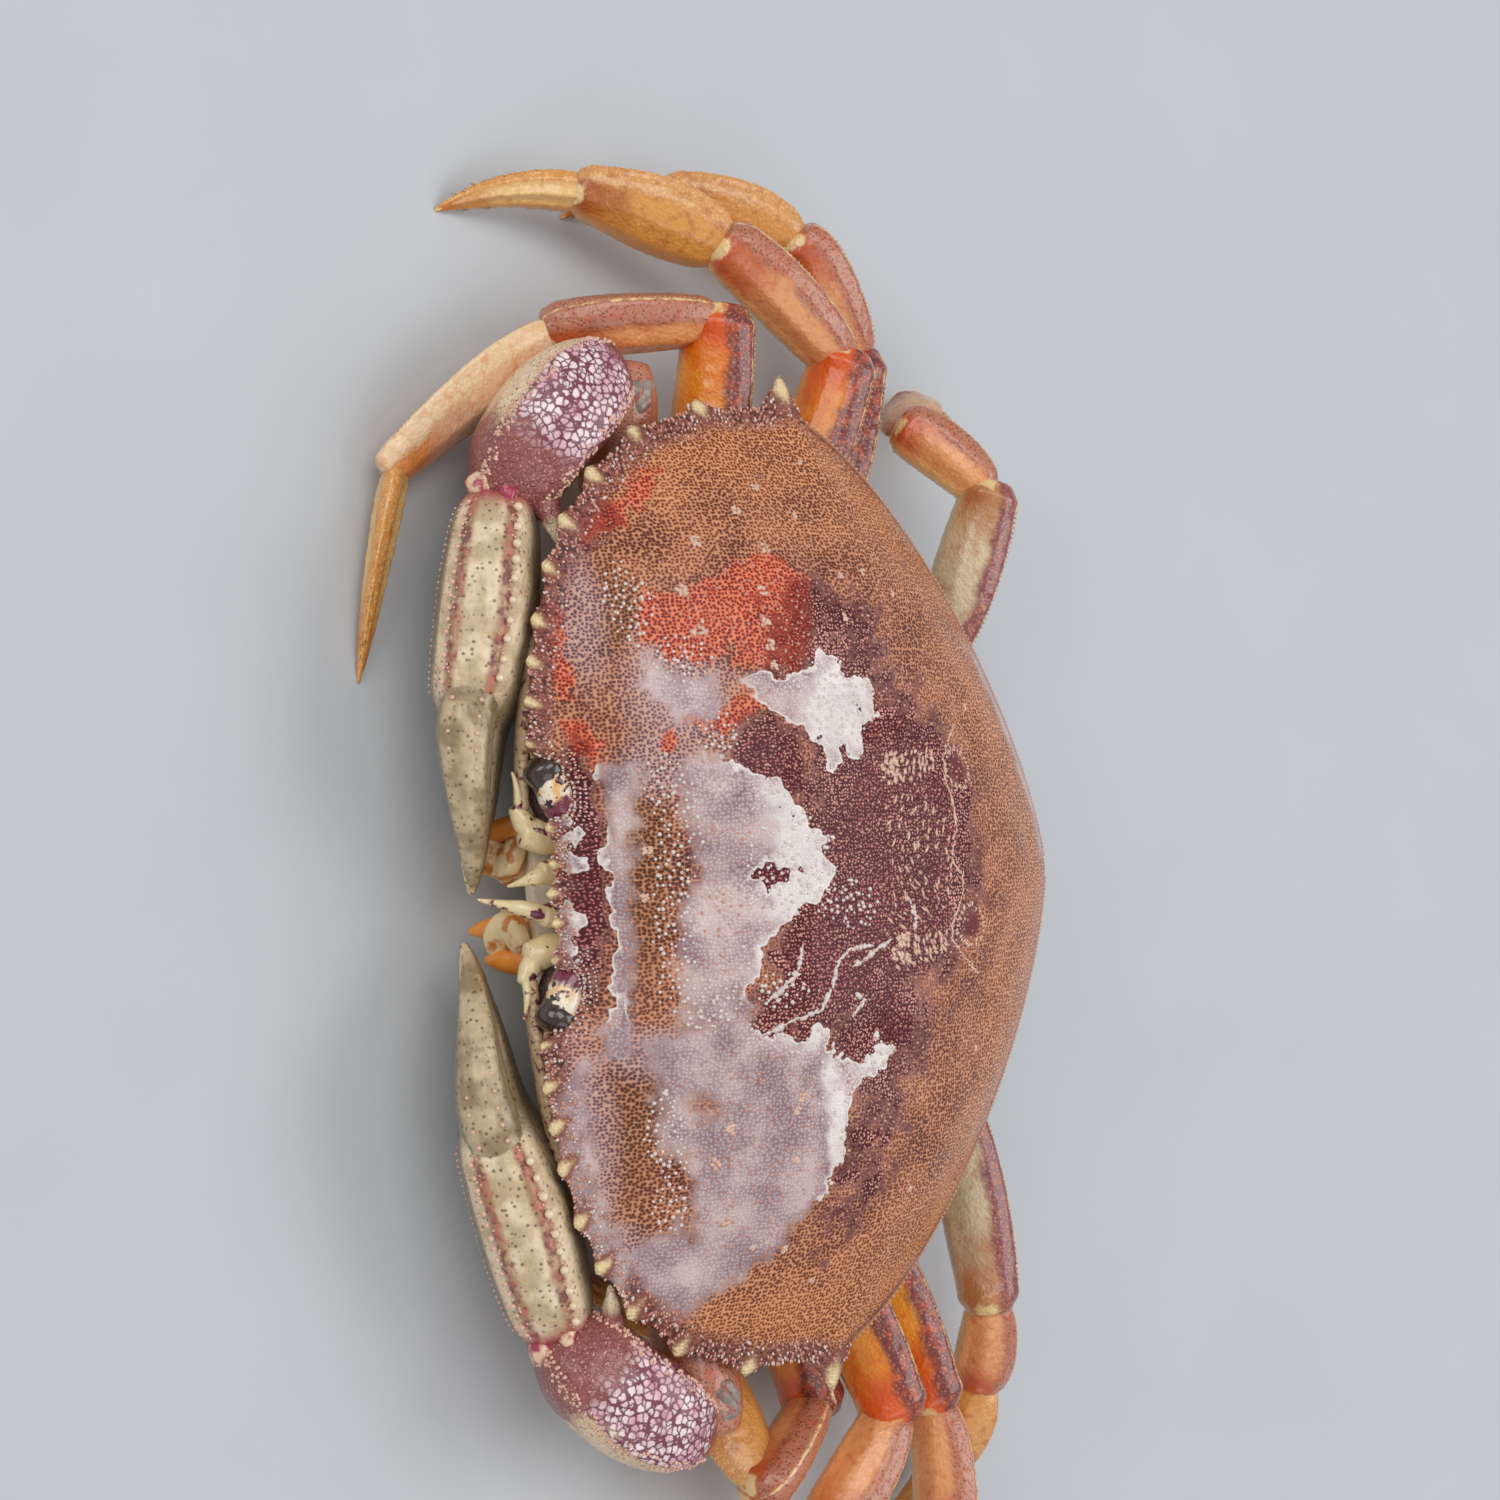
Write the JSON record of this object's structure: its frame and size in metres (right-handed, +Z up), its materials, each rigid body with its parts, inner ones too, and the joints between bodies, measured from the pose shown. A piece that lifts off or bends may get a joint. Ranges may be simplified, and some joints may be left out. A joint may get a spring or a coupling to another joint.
{
  "type": "dungeness crab",
  "caption": "Life-size whole Dungeness crab resting on its belly, claws folded in front of the mouth and walking legs drawn in beside a wide toothed shell.",
  "frame": {"origin": "on the floor under the middle of the whole crab, legs included", "axes": "+Z up; +X towards the crab's left, the way the legs spread; -Y the way the crab faces"},
  "size_m": [0.2684, 0.1308, 0.0512],
  "materials": {
    "shell": "wet, granular",
    "underside": "damp, smooth",
    "claw": "wet, beaded",
    "leg": "wet, granular above",
    "face": "wet, smooth",
    "eye": "polished"
  },
  "bodies": {
    "root": {"carapace": "shell", "thorax": "underside", "abdomen": "underside", "right_mouth_plate": "face", "right_eye": "eye", "right_antenna": "face", "right_antennule": "face", "right_claw_arm": "claw", "right_claw_wrist": "claw", "right_claw_hand": "claw", "right_claw_finger": "claw", "left_mouth_plate": "face", "left_eye": "eye", "left_antenna": "face", "left_antennule": "face", "left_claw_arm": "claw", "left_claw_wrist": "claw", "left_claw_hand": "claw", "left_claw_finger": "claw", "right_leg_1_hip": "leg", "right_leg_1_merus": "leg", "right_leg_1_carpus": "leg", "right_leg_1_propodus": "leg", "right_leg_1_dactyl": "leg", "right_leg_2_hip": "leg", "right_leg_2_merus": "leg", "right_leg_2_carpus": "leg", "right_leg_2_propodus": "leg", "right_leg_2_dactyl": "leg", "right_leg_3_hip": "leg", "right_leg_3_merus": "leg", "right_leg_3_carpus": "leg", "right_leg_3_propodus": "leg", "right_leg_3_dactyl": "leg", "right_leg_4_hip": "leg", "right_leg_4_merus": "leg", "right_leg_4_carpus": "leg", "right_leg_4_propodus": "leg", "right_leg_4_dactyl": "leg", "left_leg_1_hip": "leg", "left_leg_1_merus": "leg", "left_leg_1_carpus": "leg", "left_leg_1_propodus": "leg", "left_leg_1_dactyl": "leg", "left_leg_2_hip": "leg", "left_leg_2_merus": "leg", "left_leg_2_carpus": "leg", "left_leg_2_propodus": "leg", "left_leg_2_dactyl": "leg", "left_leg_3_hip": "leg", "left_leg_3_merus": "leg", "left_leg_3_carpus": "leg", "left_leg_3_propodus": "leg", "left_leg_3_dactyl": "leg", "left_leg_4_hip": "leg", "left_leg_4_merus": "leg", "left_leg_4_carpus": "leg", "left_leg_4_propodus": "leg", "left_leg_4_dactyl": "leg"}
  },
  "joints": []
}
